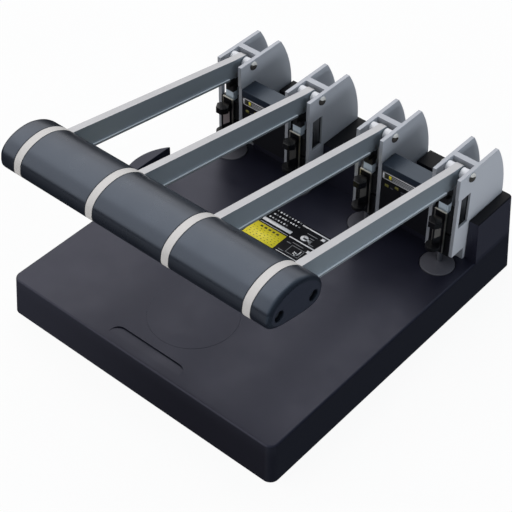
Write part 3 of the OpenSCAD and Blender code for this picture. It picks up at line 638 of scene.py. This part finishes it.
# Base label: bars, ticks and blocks in the part's X and Y stand for its printing
yellow = [bar(-35.4, 8.9, -0.2, 28.9)]
white = [
    bar(-32.4, 33.4, 0.0, 37.3), bar(1.2, 49.6, 32.6, 51.0), bar(1.2, 30.4, 32.6, 31.8),
    bar(-32.0, 30.4, -0.6, 30.8), bar(25.6, 44.8, 29.4, 48.2), bar(25.6, 23.8, 29.4, 27.2),
    bar(3.0, 9.6, 30.5, 10.3), ring((13.2, 37.6), (3.9, 3.6), 12), bar(12.0, 36.4, 19.2, 38.2),
    bar(17.4, 15.4, 22.2, 17.0), [(19.8, 14.0), (23.2, 17.4), (16.8, 18.6)],
    bar(21.8, 18.2, 22.8, 22.4),
]
grey = [
    bar(11.0, 44.2, 22.4, 45.0), bar(16.6, 40.4, 21.6, 41.4), bar(18.6, 35.0, 21.4, 38.8),
    bar(8.6, 26.4, 20.6, 27.2), bar(3.4, 12.2, 9.4, 13.0), bar(4.0, 24.0, 8.4, 25.0),
    bar(20.0, 33.6, 26.0, 34.4), bar(10.6, 13.6, 11.2, 23.8), bar(10.6, 23.4, 25.0, 24.0),
    bar(24.4, 13.6, 25.0, 23.8), bar(10.6, 13.2, 25.0, 13.8),
]
# Three rows of ticks: the row's Y, its first and last X, the step and the ticks' size
TICK_ROWS = ((51.0, -28.6, -1.0, 3.3, 1.9), (45.8, -28.6, -0.4, 3.1, 2.0), (40.6, -29.6, -9.0, 3.2, 1.9))
for row, (y, x0, x1, step, size) in enumerate(TICK_ROWS):
    x, i = x0, 0
    while x < x1:
        wide = size * (0.72, 1.0, 0.86)[(i + row) % 3]
        tall = size * (1.0, 0.8, 0.95)[(i * 2 + row) % 3]
        shade = white if (i * 5 + row * 3) % 4 else grey
        shade.append(bar(x, y - tall / 2, x + wide, y + tall / 2))
        x, i = x + step, i + 1
# Dark blocks and fine ticks on the yellow field
dark = [bar(x, 24.6, x + 2.6, 26.6) for x in (-27.6 + i * 4.6 for i in range(5))]
for row in range(5):
    y = 22.0 - row * 2.6
    for i in range(8):
        x = -33.0 + i * 4.1 + (row % 2) * 1.1
        dark.append(bar(x, y, x + (1.1, 0.7, 1.5)[(i + row) % 3], y + 0.55))

for title, shapes, low, high, material in (("label_yellow", yellow, -0.02, 0.05, print_yellow),
                                           ("label_white", white, -0.02, 0.05, print_white),
                                           ("label_grey", grey, -0.02, 0.05, print_grey),
                                           ("label_ticks", dark, 0.03, 0.09, print_dark)):
    add_piece(title, slabs(title, shapes, PRINT_Z + low, PRINT_Z + high), material, "base")

# Chip boxes: a light frame, two blocks and grey bars on the strips, and faint marks below them.
# Each rectangle is x0, z0, x1, z1, with X measured from the head to the box's left.
STRIP_X = 15.1
STRIP_FACE, BOX_FACE = (89.62, 89.54), (90.02, 89.94)
BOX_PRINT = (
    ("strip_white", STRIP_FACE, print_white,
     ((0.8, 108.4, 49.0, 109.3), (0.8, 102.0, 2.4, 109.3), (0.8, 102.0, 49.0, 102.5))),
    ("strip_grey", STRIP_FACE, strip_grey,
     ((11.0, 106.4, 46.0, 107.3), (11.0, 104.9, 33.0, 105.7), (35.0, 104.7, 46.5, 105.6),
      (11.0, 103.3, 41.0, 104.1))),
    ("strip_yellow", STRIP_FACE, print_yellow, ((7.4, 103.6, 10.0, 107.4),)),
    ("strip_dark", STRIP_FACE, print_dark, ((3.6, 103.4, 6.4, 107.6),)),
    ("box_marks_yellow", BOX_FACE, mark_yellow, ((3.5, 93.6, 7.4, 96.6), (14.0, 96.0, 17.8, 98.8))),
    ("box_marks_grey", BOX_FACE, mark_grey,
     ((9.0, 93.8, 12.4, 95.0), (20.4, 94.8, 26.4, 96.2), (20.4, 92.4, 24.8, 93.6),
      (29.0, 94.0, 33.4, 96.6))),
)
for side, k in zip(SIDES, (1, 3)):
    start = HEAD_X[k] + STRIP_X
    for stem, (back, front), material, rects in BOX_PRINT:
        title = "%s_%s" % (stem, side)
        placed = [(start + x0, z0, start + x1, z1) for x0, z0, x1, z1 in rects]
        add_piece(title, face_slabs(title, placed, back, front), material, "chip_box_" + side)


# ---------------------------------------------------------------- round mark and pins

# The faint round mark: a low round with a soft edge, resting in its shallow seat
MARK_CENTRE, MARK_R, MARK_SIDES = (2.4, -96.5), 39.9, 160
MARK_SINK, MARK_RISE = 0.2, 0.14
mark = slabs("deck_round", [ring(MARK_CENTRE, (MARK_R, MARK_R), MARK_SIDES)], DECK_Z - MARK_SINK,
             DECK_Z + MARK_RISE)
add_piece("deck_round", mark, base_plastic, "base", 0.1)

# Pivot pins: a plain shank between two domed heads with a chamfered rim, as (x, radius)
SHANK = [(-14.2, 3.0), (14.2, 3.0)]
DOME = [(16.8, 0.6), (16.75, 1.6), (16.5, 2.7), (16.0, 3.5), (15.3, 4.1), (14.9, 4.38), (14.45, 4.38),
        (14.2, 4.1)]
PIN = [(-x, r) for x, r in DOME] + SHANK + list(reversed(DOME))
PIN_EDGE = 0.12
for k in HEADS:
    title = "pivot_pin_%d" % k
    pin = add_piece(title, lathe_x(title, PIN, HEAD_X[k], *PIVOT), pin_steel, "base", PIN_EDGE)
    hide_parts("pivot_pins")


# ---------------------------------------------------------------- floor and light

FLOOR_HALF, FLOOR_TONE, FLOOR_GLOW = 6.0, 0.06, 0.925
SKY_REAR, SKY_FRONT, TABLE_RIGHT = 1.2, 1.35, 0.10


def make_floor():
    """A pale floor that glows a little, so that it looks nearly white."""
    half = FLOOR_HALF
    corners = [(-half, -half, 0), (half, -half, 0), (half, half, 0), (-half, half, 0)]
    mesh = bpy.data.meshes.new("floor")
    mesh.from_pydata(corners, [], [(0, 1, 2, 3)])
    floor = bpy.data.objects.new("floor", mesh)
    bpy.context.scene.collection.objects.link(floor)
    pale = shader("floor_pale", (FLOOR_TONE,) * 3, 0.9, level=0.0)
    mottle(pale, 3, (0.057, 0.057, 0.057), (0.063, 0.063, 0.063))
    bsdf = pale.node_tree.nodes["Principled BSDF"]
    bsdf.inputs["Emission Color"].default_value = (1, 1, 1, 1)
    bsdf.inputs["Emission Strength"].default_value = FLOOR_GLOW
    mesh.materials.append(pale)
    floor.visible_glossy = False
    floor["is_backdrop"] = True


def area_light(name, place, target, size, power, color=(1, 1, 1)):
    lamp = bpy.data.lights.new(name, "AREA")
    lamp.shape = "RECTANGLE"
    lamp.size, lamp.size_y = size
    lamp.energy = power
    lamp.color = color
    obj = bpy.data.objects.new(name, lamp)
    bpy.context.scene.collection.objects.link(obj)
    obj.location = place
    obj.rotation_mode = "QUATERNION"
    obj.rotation_quaternion = (Vector(target) - Vector(place)).to_track_quat("-Z", "Y")
    return obj


def make_world():
    """A studio dome: bright at the left, dim at the right and below, a low glow in front."""
    world = bpy.data.worlds.new("studio")
    bpy.context.scene.world = world
    world.use_nodes = True
    tree = world.node_tree
    sky = tree.nodes["Background"]
    place = tree.nodes.new("ShaderNodeTexCoord")
    split = tree.nodes.new("ShaderNodeSeparateXYZ")
    tree.links.new(place.outputs["Generated"], split.inputs["Vector"])

    def ramp(axis, start, end, low, high):
        return map_range(tree, split.outputs[axis], start, end, low, high, "SMOOTHSTEP")

    hue = tree.nodes.new("ShaderNodeMix")
    hue.data_type = "RGBA"
    tree.links.new(ramp("X", -0.4, 0.5, 0.0, 1.0), hue.inputs["Factor"])
    hue.inputs["A"].default_value = (1.0, 0.985, 0.99, 1)
    hue.inputs["B"].default_value = (0.72, 0.88, 1.0, 1)
    tree.links.new(hue.outputs["Result"], sky.inputs["Color"])
    dome = both(world, ramp("Z", -0.02, 0.24, 0.0, 1.0), ramp("X", 0.75, -0.45, 0.12, 1.0))
    dome = both(world, dome, ramp("Y", 0.7, -0.25, SKY_REAR, SKY_FRONT))
    glow = both(world, ramp("Z", -0.06, -0.2, 0.0, 1.0), ramp("Y", -0.62, -0.82, 0.0, 0.35))
    table = both(world, ramp("Z", 0.0, -0.15, 0.0, 1.0), ramp("X", 0.1, 0.6, 0.02, TABLE_RIGHT))
    light = math_node(world, "ADD", math_node(world, "ADD", dome, table), glow)
    tree.links.new(light, sky.inputs["Strength"])


make_floor()
make_world()
area_light("key_top", (-0.7, 0.3, 1.6), (0, 0, 0.1), (1.9, 1.9), 8)
fill = area_light("side_right", (1.7, 0.0, 0.55), (0, 0.02, 0.13), (0.9, 0.4), 8, (0.90, 0.94, 1.0))
fill.visible_glossy = False


# ---------------------------------------------------------------- camera

# The camera fitted to the photo: its place, the way it looks back along, its heading and roll
CAMERA_PLACE = (0.600919, -0.719881, 0.917787)
BACK = Vector((0.472325, -0.555427, 0.684405)).normalized()
HEADING, ROLL = math.radians(40.38), math.radians(0.4)
SENSOR_WIDTH, LENS = 36, 102.69

scene = bpy.context.scene
scene.view_settings.view_transform = "Standard"
flat_right = Vector((math.cos(HEADING), math.sin(HEADING), 0))
flat_up = BACK.cross(flat_right)
right = math.cos(ROLL) * flat_right + math.sin(ROLL) * flat_up
up = BACK.cross(right)
cam_data = bpy.data.cameras.new("camera")
cam_data.sensor_width = SENSOR_WIDTH
cam_data.lens = LENS
cam_data.clip_end = 20
cam = bpy.data.objects.new("camera", cam_data)
scene.collection.objects.link(cam)
turn = Matrix(((right.x, up.x, BACK.x), (right.y, up.y, BACK.y), (right.z, up.z, BACK.z)))
cam.matrix_world = Matrix.Translation(CAMERA_PLACE) @ turn.to_4x4()
scene.camera = cam

low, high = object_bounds()
